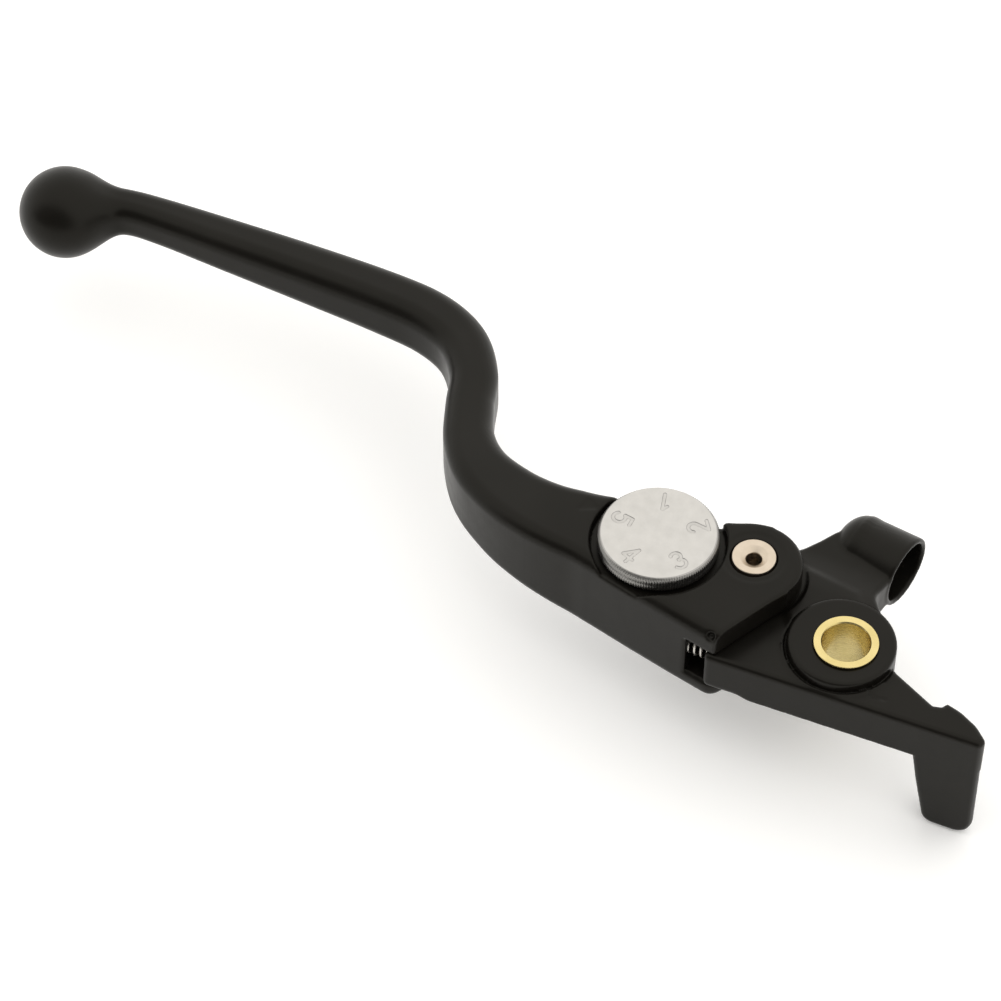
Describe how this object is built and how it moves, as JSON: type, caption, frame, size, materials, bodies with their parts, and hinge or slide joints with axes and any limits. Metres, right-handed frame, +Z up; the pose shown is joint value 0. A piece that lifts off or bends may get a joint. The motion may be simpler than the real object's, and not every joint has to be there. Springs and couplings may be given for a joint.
{
  "type": "motorcycle clutch lever",
  "caption": "Folding-reach motorcycle hand lever with ball end, forked root, numbered reach dial, pivot bush, pushrod socket and switch tab.",
  "frame": {"origin": "on the main pivot's axis, at half the height of the pivot bush", "axes": "+Z up the pivot axis towards the dial, +X along the finger grip from the ball towards the switch tab, +Y towards the handlebar"},
  "size_m": [0.2055, 0.0542, 0.0327],
  "materials": {
    "black_coating": "satin black coating on cast aluminium",
    "bush_brass": "turned, bright",
    "steel": "plain",
    "nickel_plate": "satin nickel plate",
    "satin_aluminium": "satin silver with a bright edge",
    "rubber": "plain black"
  },
  "bodies": {
    "inner_lever": {"inner_lever": "black_coating", "pivot_bush": "bush_brass", "pushrod_seat": "steel", "hinge_bush": "bush_brass", "return_spring": "steel"},
    "hinge_rivet": {"hinge_rivet": "nickel_plate", "hinge_rivet_washer": "steel"},
    "outer_lever": {"outer_lever": "black_coating"},
    "reach_adjuster": {"adjuster_wheel": "satin_aluminium", "adjuster_spindle": "steel", "adjuster_cam": "steel", "spindle_o_ring": "rubber", "clip_washer": "steel", "spindle_e_clip": "steel"}
  },
  "joints": [
    {"name": "reach", "type": "hinge", "parent": "inner_lever", "child": "hinge_rivet", "pos_m": [-0.0201, 0.0073, 0], "axis": [0, 0, 1], "range_deg": [0, 6]},
    {"name": "push_forward", "type": "hinge", "parent": "hinge_rivet", "child": "outer_lever", "pos_m": [-0.0201, 0.0073, 0], "axis": [0, 0, 1], "range_deg": [0, 3.5], "stiffness_Nm_per_rad": 0.7, "springref_deg": -20.05, "deforming": ["return_spring"]},
    {"name": "adjuster_turn", "type": "hinge", "parent": "outer_lever", "child": "reach_adjuster", "pos_m": [-0.036, 0.0036, 0], "axis": [0, 0, 1], "range_deg": [-288, 0]}
  ],
  "couplings": [
    {"joint": "adjuster_turn", "follows": "reach", "ratio": -48}
  ]
}
